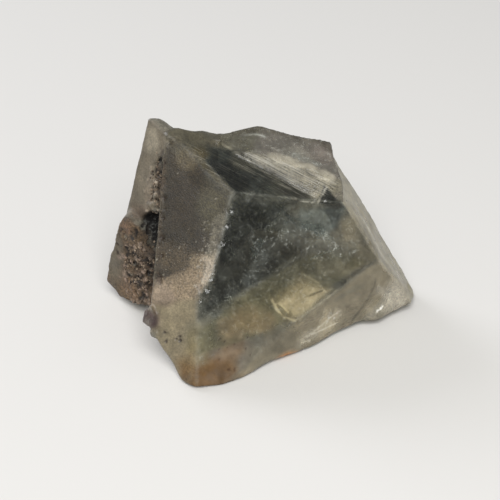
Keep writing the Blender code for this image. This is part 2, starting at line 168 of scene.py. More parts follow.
# The stone. Each face has the colour of its quartz, a point on it, how rough it is, how clear it is
# (the share of light that goes in), how coarse its relief is, and how far it is clouded by veils,
# dotted with specks and lined with growth streaks. The marks in the lists after it cover these looks
# with their own, one after the other. A mark's random pattern follows from its place in its list.
quartzStone = {
    "voxel": 0.295,                     # fine enough for pits and worn edges, coarse enough for the file
    "onFace": 0.15, "byEdge": 0.3,      # in mm: this near a face's plane is on it, near two is an edge
    "blend": 6,                         # rounds of smoothing that blend a face's look into the next
    # the noise that frays the marks' outlines: size in mm (for scatters, in radii) and strength
    "stainNoise": (3.0, 0.35), "patchNoise": (1.2, 0.25),
    "lineNoise": (1.6, 0.5), "scatterNoise": (1.0, 0.3),
    "fade": 2.2,                        # size in mm of the stretches where edges and lines fade
    "skin": 0.018, "skinSize": 0.9,     # height and width of the frosting
    "wave": 0.16, "waveSize": 6.0,      # slow waves that keep the faces and edges from being ruled
    "lump": 0.28, "lumpSize": 2.6,      # lumps of the porous left side
    "chip": 0.26, "chipSize": 1.2,      # small chips out of the edges
    "striation": 0.1, "lineSpacing": 0.55, "lineLength": 9.0,     # growth lines on the crown
    "ridge": (13.0, -3.0, -5.9),        # direction of those lines
    "ridgeFace": (0.16, -0.71, 0.68),   # which way the face that bears them looks
    # where the skin bulges or sinks beyond its flat cuts: middle, reach and how far it moves
    "pulls": [
        # toe and low front edge
        {"at": (30.5, 6.5, 1.5), "reach": 7, "move": (0.2, -2.4, -0.2)},
        {"at": (24.5, 1.9, 1), "reach": 5.5, "move": (0, -2.2, 0)},
        {"at": (11, -6.3, 0), "reach": 7, "move": (0, -1.1, 0)},
        {"at": (5.5, -10, 0), "reach": 6, "move": (0, -1.5, 0)},
        {"at": (0, -13, 0), "reach": 6, "move": (0.2, -2, 0)},
        {"at": (-3.6, -15.1, 0), "reach": 6, "move": (0, -1.9, 0)},
        # foot, left foot
        {"at": (-9, -17.5, 0), "reach": 6, "move": (0, -1.8, 0)},
        {"at": (-22, 4, 0), "reach": 6, "move": (0, -0.9, 0)},
        # top of the left block
        {"at": (-15.8, 11.2, 37.2), "reach": 3, "move": (0.2, 0, 0.4)},
        {"at": (-12.6, 9.2, 36.4), "reach": 3.4, "move": (0, 0.6, 1.05)},
        {"at": (-9.2, 9.6, 35.5), "reach": 4, "move": (0, 0.3, 0.8)},
        # back corner of the crown, right face, bowed edge of the left face
        {"at": (13.6, 14.4, 30.6), "reach": 5, "move": (0.3, 0.2, 0.45)},
        {"at": (21, 10, 17.5), "reach": 11, "move": (0.45, 0, 0)},
        {"at": (-7.6, 1.8, 32.8), "reach": 4, "move": (-0.1, -0.3, 0.25)},
        # cavity
        {"at": (-17.8, 3.8, 19.4), "reach": 3.4, "move": (0, 3.2, 0.3)},
    ],
    # where it is rounder: middle, reach and rounds of smoothing
    "softSpots": [
        # top of the left block, low left edge of the front, low end of the cheek
        {"at": (-12.6, 11, 36), "reach": 4.4, "rounds": 60},
        {"at": (-9.5, -15, 4.5), "reach": 6.5, "rounds": 60},
        {"at": (4, -11, 3.6), "reach": 7, "rounds": 50},
        # top edge of the left face, end of the ledge
        {"at": (-8, 2.2, 33.2), "reach": 5, "rounds": 14},
        {"at": (-9.5, -7, 18.6), "reach": 6, "rounds": 20},
        # toe, foot, left foot and its top
        {"at": (30.5, 6, 2.2), "reach": 3.2, "rounds": 40},
        {"at": (-9.5, -17.4, 0), "reach": 3, "rounds": 30},
        {"at": (-27, 9, 4), "reach": 3.5, "rounds": 30},
        {"at": (-23.4, 6.5, 21.2), "reach": 2.5, "rounds": 30},
    ],
    "faces": {
        "front": look("#a9aa9d", at=(8, -2.2, 18), rough=0.12, clear=0.955, relief=0.1, veil=0.28,
                      specks=0.25),
        "cheek": look("#d8caab", at=(16.6, -2.7, 7.7), rough=0.2, clear=0.82, relief=0.12, veil=0.12),
        "frontLeft": look("#332b1c", at=(-10.6, -2.6, 24.2), rough=0.5, clear=0.22, relief=0.9, specks=0.12),
        "ledge": look("#9a876d", at=(-12, -8, 15.9), rough=0.45, clear=0.4, relief=0.9, specks=0.4),
        "lowerLeft": look("#ab9d7f", at=(-12.4, -12.9, 8), rough=0.4, clear=0.55, relief=0.4, specks=0.15),
        "shoulderSlope": look("#6c726b", at=(2.7, 1.6, 28.9), rough=0.15, clear=0.94, relief=0.35,
                              specks=0.5, streak=0.3),
        "striated": look("#beb59b", at=(5, 5.3, 29.8), rough=0.3, clear=0.68, relief=0.6, streak=1),
        "top": look("#aca598", at=(6.4, 10.8, 32.1), rough=0.24, clear=0.76, relief=0.15, veil=0.4),
        "saddle": look("#98937f", at=(-2, 9.5, 34), rough=0.28, clear=0.74, relief=0.3, veil=0.3),
        "band": look("#817a64", at=(-12, 7.5, 36.1), rough=0.34, clear=0.66, relief=0.6),
        "rightFront": look("#cfc6ab", at=(21.3, 7.1, 17.7), rough=0.34, clear=0.6, relief=0.25, veil=0.1),
        "rightBack": look("#cfc6ab", at=(20, 10, 20), rough=0.34, clear=0.6, relief=0.25, veil=0.1),
        "flank": look("#857a67", at=(-18.6, 7.4, 28), rough=0.48, clear=0.56, relief=0.5),
        "stub": look("#5e4c37", at=(-22, 4.2, 12), rough=0.6, clear=0.14, relief=1.1),
        "back": look("#c3c6bd", at=(-4, 16.5, 20), rough=0.13, clear=0.92, relief=0.2, veil=0.5, specks=0.3),
        "backRight": look("#b7bab0", at=(8, 18.6, 21), rough=0.2, clear=0.87, relief=0.4, veil=0.4),
        "backLow": look("#b3a689", at=(8, 17.8, 4), rough=0.4, clear=0.62, relief=0.8, specks=0.4),
        "rightRear": look("#cbc5b2", at=(22, 13.5, 12), rough=0.3, clear=0.7, relief=0.5, veil=0.3),
        "leftWall": look("#8c836f", at=(-17, -2, 12), rough=0.45, clear=0.5, relief=0.9, specks=0.4),
        "base": look("#cbc6b6", at=(14, 6, 0), rough=0.3, clear=0.8, relief=0.5, veil=0.1),
    },
    "breaks": look("#b3ac9a", rough=0.28, clear=0.74, relief=0.6, veil=0.2),    # between the faces
    "wornEdge": look("#c9c3b1", 0.14, rough=0.45, clear=0.5),                   # frosted by wear
    # soft clouds of colour in the skin: middle and half sizes
    "stains": [
        # painted shade on the steep slope above the front face, olive rim of the crown
        look("#3f4340", 0.8, at=(-3, 2, 31.5), half=(5, 4, 4)),
        look("#4b4e48", 0.8, at=(7, 3.6, 27.2), half=(4.5, 2, 1.8), clear=0.88, streak=0.6),
        look("#6d6650", 0.8, at=(-9.5, 5.5, 35), half=(4.5, 2.5, 1.6), clear=0.6),
        # grey-brown and paler right part of the front face
        look("#a89e84", 0.7, at=(20, 1, 14.5), half=(6, 5, 6), clear=0.8),
        look("#b3a78a", 0.8, at=(18, 3, 19), half=(3.5, 4, 4), clear=0.62),
        # its yellow-green low part, painted light from the table seen through the base; warm glow above the
        # foot, brown foot and grey low edges
        look("#bfb489", 0.8, at=(3, -8, 9.5), half=(10, 6, 5), clear=0.79),
        look("#ccb27c", 0.7, at=(-0.5, -10.4, 8.8), half=(3.8, 3, 2.4), clear=0.62),
        look("#937653", 0.85, at=(-3, -13, 5), half=(5, 5, 3.5), clear=0.5, rough=0.8, specks=0, veil=0),
        look("#9b917a", 0.85, at=(5, -10.4, 3.5), half=(7, 5, 4), clear=0.72, rough=0.6),
        look("#918b72", 0.8, at=(-8.5, -13.5, 8), half=(3.4, 3, 5), clear=0.66, rough=0.4),
        look("#90835f", 0.8, at=(-9.4, -15, 5), half=(3.4, 4, 6), clear=0.35, rough=0.9),
        look("#674b28", 0.95, at=(-7, -17, 1.5), half=(9, 7, 5), clear=0.15, rough=0.9, specks=0, veil=0),
        # pale right face, veiled heart of the front, toe, top of the crown, cheek
        look("#e4dcc4", 0.7, at=(18.5, 11, 23), half=(4, 6, 5)),
        look("#959a91", 0.6, at=(3, -2.8, 21.5), half=(5, 3, 2.6), clear=0.88, veil=0.9),
        look("#d2c8b0", 0.5, at=(24, 1, 2), half=(4, 4, 3.4), clear=0.7, rough=0.5),
        look("#bdb8a8", 0.7, at=(8.5, 9.6, 31.2), half=(5.5, 2.6, 2), clear=0.66),
        look("#ecdcb8", 0.65, at=(14.2, -4.6, 4), half=(4.2, 4, 3.4), clear=0.6, veil=0.8),
        # cream end and streaked start of the crown, pale toe, pinkish top
        look("#b5ab8e", 0.6, at=(13, 4.8, 27.6), half=(4.5, 3, 2.4), clear=0.6),
        look("#8b866f", 0.7, at=(-1, 5.4, 31.8), half=(3.6, 1.6, 1.6), clear=0.8, streak=1),
        look("#efe5cf", 0.95, at=(27.8, 4.2, 4.6), half=(4.4, 4, 4), clear=0.6),
        look("#a1948a", 0.6, at=(13, 11.5, 30), half=(4, 4, 2), clear=0.6),
        # left face: brown heart, pale right half, olive rim
        look("#31281a", 0.7, at=(-12.4, 0.5, 28), half=(3.4, 6, 6.5)),
        look("#5a543f", 0.75, at=(-6.5, -1.6, 27), half=(3.4, 5, 6.5), clear=0.4),
        look("#6b5f45", 0.6, at=(-11, 3.6, 34), half=(3, 2.5, 2)),
        look("#5d5132", 0.85, at=(-9, 4.4, 34.6), half=(3, 2.2, 1.4), clear=0.5),
        # its dark low end and a paler corner, pinkish end of the ledge
        look("#4f4330", 0.85, at=(-12.5, -5.2, 18.8), half=(5.5, 3.5, 3), relief=1.2, specks=0.6),
        look("#8f7f66", 0.7, at=(-9, -6.6, 19), half=(2.2, 2, 1.8), specks=1),
        look("#8d7a6a", 0.7, at=(-15.5, -8.6, 13), half=(3.4, 3, 2), relief=0.3, specks=0.1),
        # dark rock along the crevice, top of the left foot
        look("#4a3c2e", 0.85, at=(-16.2, 4.4, 28.5), half=(1.3, 3.6, 7.5), clear=0, rough=0.8),
        look("#54473a", 0.9, at=(-20.6, 5.8, 21.4), half=(4, 3, 1.8), clear=0.2, rough=0.6),
        # pale top and flank of the left block
        look("#bdb29b", 0.8, at=(-17.8, 9.4, 35), half=(2.2, 3, 3), clear=0.6),
        look("#a0947f", 0.6, at=(-20, 8.2, 26), half=(1.4, 2, 7), clear=0.6),
        # black cavity and dark crack beside the left foot: painted shade in the hollows
        look("#080504", 1, at=(-17.4, 3.2, 18.9), half=(3, 7.4, 5), clear=0, rough=1),
        look("#33271d", 0.9, at=(-17.8, 1.6, 12), half=(1.5, 3.6, 6.5), clear=0, rough=0.9),
        # left foot: smoother grey outer part, red crust, dark inner part
        look("#756c5b", 0.9, at=(-25.6, 7.3, 11), half=(2.6, 3.4, 9.5), relief=0.4, clear=0.4),
        look("#84694f", 0.5, at=(-23, 5.2, 5), half=(3, 4, 3)),
        look("#836450", 0.4, at=(-22.6, 5.2, 19), half=(1.8, 3, 1.8)),
        look("#4a3a2b", 0.7, at=(-20, 3, 11), half=(2.6, 4, 7)),
        # small purple-brown bump at the lower left
        look("#41322f", 1, at=(-18, -10.2, 9.4), half=(2.4, 3.2, 3.2), clear=0, rough=0.5),
        # pale crust on the left lip of the crevice, cream patch of the ledge
        look("#a4937f", 0.6, at=(-18.4, 5.4, 26), half=(1.4, 2, 6), specks=0.8),
        look("#aa9780", 0.6, at=(-16, -8.4, 13.8), half=(3, 3, 2.4)),
        # back: clear heart, rusty foot, brown corner, pale and grey clouds
        look("#7b8078", 0.7, at=(-4, 16.4, 14), half=(7, 3, 6), clear=0.95),
        look("#a3845a", 0.6, at=(8, 18.8, 7), half=(10, 3, 3.5), clear=0.55, rough=0.4),
        look("#9b8f78", 0.7, at=(-15, 14, 7), half=(5, 3, 6), clear=0.55, rough=0.4),
        look("#d9dcd3", 0.5, at=(3, 17.5, 27), half=(6, 3, 4), clear=0.8, veil=1),
        look("#8e9189", 0.6, at=(17, 17.5, 14), half=(4, 3, 5), clear=0.9),
        # left side, and the wall below the ledge
        look("#7d6a52", 0.5, at=(-22, 10.5, 12), half=(4, 3, 6), clear=0.4),
        look("#7a6246", 0.6, at=(-17, -5, 6), half=(3, 6, 5), clear=0.3),
        # orange glint under the low edge: painted light coming through the stone, partly an iron stain
        look("#d18b45", 0.95, at=(7.2, -9.5, 0), half=(3.2, 2.6, 1.8), clear=0.3),
    ],
    # flat patches on the face that their corners lie on, with outlines as wide as soft says
    "patches": [
        # painted shade and light seen through the front face: its dark upper heart, where no light comes
        # back out, and its olive lower part, lit from the table through the base
        look("#646761", 0.9, corners=[(-3, -1.6, 28.8), (-8, -11.7, 11.8), (2.9, -5.7, 15.1),
              (9, -1.7, 18.2), (11.2, 0, 20.1), (6.3, 0.9, 26.2)], soft=1, clear=0.965, rough=0.11),
        look("#a8a27c", 0.6, corners=[(-9.2, -13.4, 9.1), (-8, -11.9, 11.4), (2.9, -5.9, 14.7),
              (9, -2, 17.6), (16.4, 0.5, 16.6), (21.1, 1, 13.6), (3.6, -9.7, 6.1), (-4, -13.1, 5.3),
              (-9, -15.2, 5.2)], soft=1, clear=0.88, rough=0.16),
        # yellow inner crack and its bright core: a painted reflection of light off a cleavage face inside
        look("#c9b587", 0.65, corners=[(4, -7.2, 11), (6.2, -8, 7.5), (8.4, -7.6, 6.4), (15, -3.2, 10.1),
              (9.4, -3.6, 14)], soft=3.2, clear=0.68, rough=0.15, veil=0.35),
        look("#e9d8ac", 0.6, corners=[(5, -7, 10.2), (10.2, -4.4, 11.6), (14.8, -3.2, 10.4),
              (9.1, -7.3, 6.7)], soft=1.3, clear=0.52, rough=0.15),
        # dark chip at the end of the crown, blue glint below the slope
        look("#33352f", 1, corners=[(13.4, 5.3, 27.7), (11.9, 2.8, 25.2), (16.4, 4.2, 24.3)], soft=0.3,
             clear=0.8),
        look("#b4c3c0", 0.6, corners=[(9, 1.4, 24.8), (17.2, 4.2, 23.6), (15.4, 2, 20.5), (12.7, 0.5, 19.7),
              (8.4, -0.2, 21.9)], soft=1.2, clear=0.9, rough=0.1),
    ],
    # thin marks that follow a path
    "lines": [
        # painted highlights along the upper and right edges of the front face
        look("#b2b3a6", 0.5, path=[(-3.2, -1, 30.2), (6, 1.4, 27.6), (17.2, 4.5, 24.3)], width=0.22,
             clear=0.5),
        look("#d5cdb6", 0.6, path=[(17.2, 4.5, 24.3), (23.8, 2, 13.4), (30.9, 5.4, 2)], width=0.5,
             clear=0.4),
        # cream ridge of the crown, a painted highlight on its crest; dark streaks under it, rim of the dark
        # chip
        look("#f1e7cd", 0.6, path=[(4.4, 8.2, 32), (6.3, 7.8, 31.4), (10.9, 7.5, 29.9), (14.5, 6.6, 28.5)],
             width=1.3, clear=0.35),
        look("#5f5e53", 0.6, path=[(-2.5, 6.6, 32.8), (3, 4.6, 30.2), (9, 3.2, 27.2)], width=1.8, clear=0.85,
             streak=1),
        look("#d4cfbb", 0.8, path=[(13.7, 5, 27.2), (12.2, 2.8, 25.3), (9, 2.2, 26.2)], width=0.2,
             clear=0.3),
        # healed, veiled bands inside the front face
        look("#b1b3a7", 0.65, path=[(7.2, -1.1, 21.1), (11.8, -0.3, 18.8), (17.3, 0.8, 16.4)], width=2.4,
             clear=0.81, veil=1, rough=0.18),
        look("#9ba19c", 0.5, path=[(2.1, -3.4, 20.5), (1.8, -4.9, 17.8), (0, -6.8, 15.2)], width=1.6,
             clear=0.88, veil=0.9),
        look("#8f958e", 0.5, path=[(4.4, 0, 25.2), (7.6, -0.4, 22)], width=2.4, clear=0.89, veil=0.7),
        look("#b5ad94", 0.5, path=[(12.9, -1.7, 14.3), (16.6, -0.8, 13.2)], width=1.8, clear=0.75),
        # warm glow above the foot, paler rim of the left face
        look("#c4a67c", 0.55, path=[(-4, -11.6, 7.9), (-1.3, -10.2, 9.1), (2.6, -9.3, 7.6)], width=2.8,
             clear=0.62, veil=0.2),
        look("#968f7c", 0.5, path=[(-5.2, -3.2, 25.8), (-6.4, -5.4, 22.2), (-7.5, -8.2, 18.2)], width=1.1,
             clear=0.35, specks=0.9),
        # right corner: dark fold, bright glint, dark top of the cheek
        look("#5a564a", 0.7, path=[(23.4, 1.4, 9.6), (23.2, 1.3, 8), (21.8, 0.2, 5), (19.1, -1.6, 1.9)],
             width=0.3, clear=0.75),
        look("#fffaee", 1, path=[(23.7, 1.5, 2.9), (24.9, 2.2, 3.4)], width=0.3, clear=0),
        look("#57564c", 0.6, path=[(18.7, -0.8, 11.9), (21.1, 0.5, 12.6), (23, 1.6, 13.2)], width=0.6,
             clear=0.8),
        # yellow inner crack: its rim and streaks, painted light reflected inside, and the dark line across
        # it
        look("#ecdcae", 0.7, path=[(4, -7.2, 11), (4.9, -7.7, 9.2), (6.2, -8, 7.7), (8.4, -7.6, 6.6)],
             width=0.3, clear=0.35),
        look("#ecdcae", 0.6, path=[(5.4, -7.2, 10.2), (6.9, -7.3, 8.3)], width=0.25, clear=0.35),
        look("#e0d2a6", 0.5, path=[(8.6, -4.9, 13), (9.9, -5.2, 10.8)], width=0.35, clear=0.5),
        look("#e6d9b0", 0.5, path=[(10.4, -4.2, 13.2), (11.6, -4.4, 11)], width=0.35, clear=0.5),
        look("#efe0b4", 0.25, path=[(9.4, -3.5, 14.3), (12.4, -3.3, 12), (13.6, -3.6, 10.4)], width=0.22,
             clear=0.4),
        look("#4d4530", 0.8, path=[(9, -5.3, 10), (11, -4.6, 10.2), (13.3, -3.7, 10.6)], width=0.2,
             clear=0.6),
        # edge between the front face and the cheek
        look("#c9c0a4", 0.6, path=[(8.4, -7.6, 6.4), (13.1, -4.6, 8.6), (20, -0.8, 12)], width=0.3,
             clear=0.55),
        # pale folds in the cheek, and a grey one above them
        look("#e6ddc6", 0.5, path=[(9.5, -7.4, 2.2), (13.8, -4.7, 3.2), (16.2, -3.2, 4.8)], width=1.3,
             clear=0.6, veil=0.6),
        look("#dcd5c2", 0.6, path=[(24, 1.9, 6.6), (26, 3, 5)], width=1.2, clear=0.62),
        look("#f1ead6", 0.6, path=[(10.3, -6.8, 2.7), (12.5, -5.4, 3.5), (14.8, -4, 4.5), (16.8, -2.7, 5.3)],
             width=0.22, clear=0.3),
        look("#f5eedb", 0.6, path=[(11.4, -6.1, 2.8), (14.1, -4.5, 2.8), (16.3, -3.2, 2.9)], width=0.2,
             clear=0.3),
        look("#eee6cf", 0.6, path=[(9.2, -7.5, 2.1), (11.1, -6.4, 1.7)], width=0.25, clear=0.3),
        look("#a9a695", 0.5, path=[(15.8, -3.1, 8), (18.8, -1.3, 8.9), (20.7, -0.1, 9)], width=0.7,
             clear=0.8),
        # bright marks of the crown and the saddle: painted highlights
        look("#d5d8cd", 0.7, path=[(-1.4, 12, 34), (0.6, 12.3, 34.1), (2.6, 12.2, 33.6)], width=0.32,
             clear=0.3),
        look("#dedccf", 0.7, path=[(4, 9.8, 32.8), (5.2, 9.6, 32.4)], width=0.35, clear=0.3),
        look("#b9bbb0", 0.6, path=[(8, 9.6, 31.4), (10.4, 9.2, 30.5), (12.4, 9, 29.9)], width=0.8, clear=0.6,
             veil=1),
        look("#c9c2a8", 0.6, path=[(-5, 9, 34), (-3.6, 8.2, 33.7)], width=0.5, clear=0.4),
        # healed cracks and a rusty ridge of the back
        look("#dfe2da", 0.6, path=[(-12, 15.2, 12), (-8.6, 15.6, 14.6), (-6, 16.4, 17), (0, 16.5, 27)],
             width=0.5, clear=0.3, veil=0.8),
        look("#d4d2c4", 0.6, path=[(9, 19.6, 17), (12.6, 17.8, 23), (13.4, 16, 28)], width=0.35, clear=0.4),
        look("#8c6a43", 0.5, path=[(-6, 18.7, 7), (0, 19.9, 12), (6, 20.4, 14.5)], width=0.8, clear=0.3),
        # bands along the right edge
        look("#a39c8b", 0.6, path=[(18.4, 6.6, 22.6), (24.2, 3.9, 12.8), (28.6, 4.9, 5.8)], width=0.35,
             clear=0.7),
        look("#efeade", 0.6, path=[(18.8, 8.2, 22), (24.6, 5.4, 12.4), (28.8, 6.4, 5.4)], width=0.5,
             clear=0.4),
        look("#bcb8ab", 0.5, path=[(19.4, 10.6, 20.8), (25.2, 8.2, 11.2), (28.9, 8.4, 5.2)], width=0.4,
             clear=0.7),
        # darker back rim of the crown, pale edge of the ledge, dark top edge of the left face
        look("#665f50", 0.75, path=[(-1.8, 12.6, 34.2), (2.2, 15, 34.5), (12.6, 15.4, 31.3),
              (15, 14.3, 30.2)], width=1.9, clear=0.6),
        look("#c0b09a", 0.6, path=[(-8, -6.3, 19.7), (-6.8, -7.2, 19.2), (-8.4, -10, 15.4)], width=0.7,
             clear=0.3),
        look("#57503c", 0.95, path=[(-12.5, 6.2, 36.6), (-9.6, 4.4, 34.9), (-7, 2, 32.6), (-3.2, -1, 30.2)],
             width=0.8, clear=0.3, rough=0.8, relief=1),
        # porous edge of the left face, along the crevice
        look("#463b30", 0.6, path=[(-15.3, 4.9, 33.6), (-15.9, 1, 27.3), (-16.4, -2.9, 21.2),
              (-16.6, -6.8, 15.2)], width=0.5, clear=0.1, rough=0.8, specks=0.6, relief=1.5),
        # the dark crevice, with painted shade in its hollows: a thin crack above, the open cavity, and the
        # crack beside the left foot
        look("#2a211a", 0.9, path=[(-15.4, 6.4, 34), (-16.6, 6.4, 30.5), (-16.3, 5.2, 27.5),
              (-16.7, 4.5, 24.9)], width=0.5, clear=0, rough=0.8),
        look("#0d0a08", 1, path=[(-16.4, 3.4, 22.6), (-17.6, 4.2, 21.4), (-18.6, 4.3, 19.8),
              (-17.7, 3.8, 18.4), (-16.8, 2.6, 16.6)], width=1.5, clear=0, rough=0.9),
        look("#1a130f", 0.95, path=[(-17, 0.6, 16), (-18.1, 1.9, 12.3), (-18.6, 2.4, 9.7),
              (-19.4, 2.3, 6.5)], width=0.7, clear=0, rough=0.9),
    ],
    # small pits and chips over a region: how many, their radii, and how deep they go in, or stand
    # out where negative
    "scatters": [
        # left foot: dark pits with painted shade in them, pale grains, and pits of its outer part
        look("#1a120e", 0.95, at=(-20.6, 3.6, 11.5), half=(2.8, 5, 8.5), count=46, size=(0.2, 0.8),
             depth=0.5),
        look("#9b8878", 0.6, at=(-21, 4, 9), half=(4, 5, 8.5), count=60, size=(0.2, 0.6), depth=-0.22),
        look("#3a2c24", 0.8, at=(-23.5, 5.5, 12), half=(2.4, 5, 6), count=14, size=(0.2, 0.5), depth=0.25),
        # crevice: dark pits with painted shade in them, and pale grains on its left lip
        look("#231b15", 0.9, at=(-16.8, 5.4, 27.5), half=(1.2, 3, 6), count=24, size=(0.2, 0.5), depth=0.35),
        look("#b9aa96", 0.6, at=(-17.9, 5.2, 26), half=(1.6, 3, 6), count=26, size=(0.25, 0.5), depth=-0.2),
        # small bump, brown foot, left face, end of the ledge, and black pits of painted shade at the top of
        # the crevice
        look("#3a2a20", 0.9, at=(-13.9, -13, 6.9), half=(1.8, 2, 1.2), count=6, size=(0.2, 0.4), depth=0.2),
        look("#4a3320", 0.8, at=(-3, -13, 4.2), half=(3.5, 4, 3.5), count=12, size=(0.15, 0.3), depth=0.1),
        look("#a8a190", 0.6, at=(-12, -2, 23), half=(7, 8, 14), count=14, size=(0.1, 0.2), depth=-0.05),
        look("#d0c5b1", 0.6, at=(-7.9, -9, 17), half=(1.8, 4, 4.5), count=46, size=(0.12, 0.34),
             depth=-0.07),
        look("#0d0907", 1, at=(-16.2, 6.4, 31), half=(1, 1.6, 1.5), count=6, size=(0.45, 0.8), depth=0.7),
        # foot of the back, wall below the ledge
        look("#6a5a44", 0.7, at=(8, 18, 5), half=(11, 3, 4.5), count=46, size=(0.15, 0.5), depth=0.16),
        look("#4b3c2e", 0.7, at=(-17, -3, 9), half=(3, 8, 8), count=40, size=(0.2, 0.6), depth=0.2),
        # glints in the cheek
        look("#fff8e6", 0.7, at=(15, -3.9, 4.6), half=(1, 1.2, 1.4), count=9, size=(0.12, 0.32),
             depth=-0.03),
        look("#fffdf2", 0.95, at=(24.4, 1.9, 3.3), half=(0.9, 0.9, 0.6), count=5, size=(0.2, 0.38),
             depth=-0.05),
        look("#f3ead2", 0.7, at=(12.5, -5.4, 2.6), half=(2.4, 2, 1.2), count=6, size=(0.1, 0.2), depth=0),
        # dark and pale flecks of the front face
        look("#4b504d", 0.5, at=(2, -4, 19), half=(8, 6, 8), count=26, size=(0.2, 0.5), depth=0),
        look("#e6e9e1", 0.6, at=(4, -4, 18), half=(9, 6, 8), count=36, size=(0.1, 0.24), depth=0),
        # bright chips along the left edge of the front face
        look("#a8a191", 0.55, at=(-7.2, -6.5, 20), half=(1.4, 6, 9), count=70, size=(0.08, 0.2), depth=0.07),
        # dark crumbs along the crevice's edge
        look("#3a2e24", 0.7, at=(-15.7, 2, 29), half=(0.9, 5, 6.5), count=30, size=(0.2, 0.5), depth=0.35),
        look("#3d3026", 0.7, at=(-16.5, -4, 19), half=(0.9, 5, 6.5), count=28, size=(0.2, 0.55), depth=0.4),
        # painted shade in the hollows of the left foot, and its pinkish grains
        look("#140e0a", 0.9, at=(-20.8, 3.6, 11), half=(2.8, 5, 8.5), count=24, size=(0.35, 0.85), depth=0),
        look("#b59c8b", 0.6, at=(-22, 4.6, 8), half=(3.4, 5, 6.5), count=36, size=(0.2, 0.5), depth=0),
    ],
}


def fineStone():
    # a fine, even mesh of the stone's own form, and what tells where its flat faces lie
    mesh = cadStone.data.copy()
    merged = bmesh.new()
    merged.from_mesh(mesh)
    bmesh.ops.remove_doubles(merged, verts=merged.verts, dist=1e-6)
    merged.to_mesh(mesh)
    tree = BVHTree.FromBMesh(merged)
    merged.faces.ensure_lookup_table()
    faces = [(np.array(face.calc_center_median()) / mm, np.array(face.normal))
             for face in merged.faces]
    merged.free()
    stone = newPiece("quartzStone", mesh)
    remesh = stone.modifiers.new("fine", "REMESH")
    remesh.mode = "VOXEL"
    remesh.voxel_size = quartzStone["voxel"] * mm
    bakeModifiers(stone)
    return stone, tree, faces


def meshArrays(mesh):
    # the mesh's points in millimetres, their normals, and the two ends of each edge
    points = np.zeros(len(mesh.vertices) * 3)
    normals = np.zeros(len(mesh.vertices) * 3)
    edges = np.zeros(len(mesh.edges) * 2, dtype=np.int64)
    mesh.vertices.foreach_get("co", points)
    mesh.vertex_normals.foreach_get("vector", normals)
    mesh.edges.foreach_get("vertices", edges)
    return points.reshape(-1, 3) / mm, normals.reshape(-1, 3), edges.reshape(-1, 2)


def faceShares(points, edges, tree, faces):
    # how much each point belongs to each named face, and how much to a worn edge
    looks = quartzStone["faces"]
    middles, normals = (np.array(part) for part in zip(*faces))
    labels = np.full(len(faces), -1)
    planes = np.zeros(len(faces), dtype=int)      # how many named planes each small face lies close to
    for number, face in enumerate(looks.values()):
        place, facing, _, _ = tree.find_nearest(Vector(face["at"]) * mm)
        away = np.abs((middles - np.array(place) / mm) @ np.array(facing))
        labels[(away < quartzStone["onFace"]) & (normals @ np.array(facing) > 0.995)] = number
        planes += away < quartzStone["byEdge"]
    nearest = np.array([tree.find_nearest(Vector(point) * mm)[2] for point in points])
    label = labels[nearest]
    shares = np.zeros((len(points), len(looks)))
    shares[label >= 0, label[label >= 0]] = 1
    edge = ((labels < 0) & (planes >= 2))[nearest].astype(float)[:, None]
    shares = spread(shares, edges, quartzStone["blend"])
    total = shares.sum(axis=1)
    shares /= np.maximum(total, 0.25)[:, None]
    named = dict(zip(looks, shares.T))
    named["breaks"] = np.clip(1 - shares.sum(axis=1), 0, 1)
    return named, spread(edge, edges, 1)[:, 0]


def scatterMarks(points):
    # each scatter, with the weight of its pits or chips at every point
    size, amount = quartzStone["scatterNoise"]
    for number, field in enumerate(quartzStone["scatters"]):
        rng = np.random.default_rng(100 + number)
        inside = np.flatnonzero(np.linalg.norm((points - field["at"]) / field["half"], axis=1) < 1)
        weight = np.zeros(len(points))
        for centre in points[rng.choice(inside, field["count"])]:
            radius = rng.uniform(*field["size"])
            near = np.flatnonzero(np.abs(points - centre).max(axis=1) < radius * 1.5)
            away = np.linalg.norm(points[near] - centre, axis=1) / radius
            away += amount * softNoise(points[near], size * radius, seed=200 + number)
            weight[near] = np.maximum(weight[near], 1 - ramp(away, 0.5, 1.1))
        yield field, weight


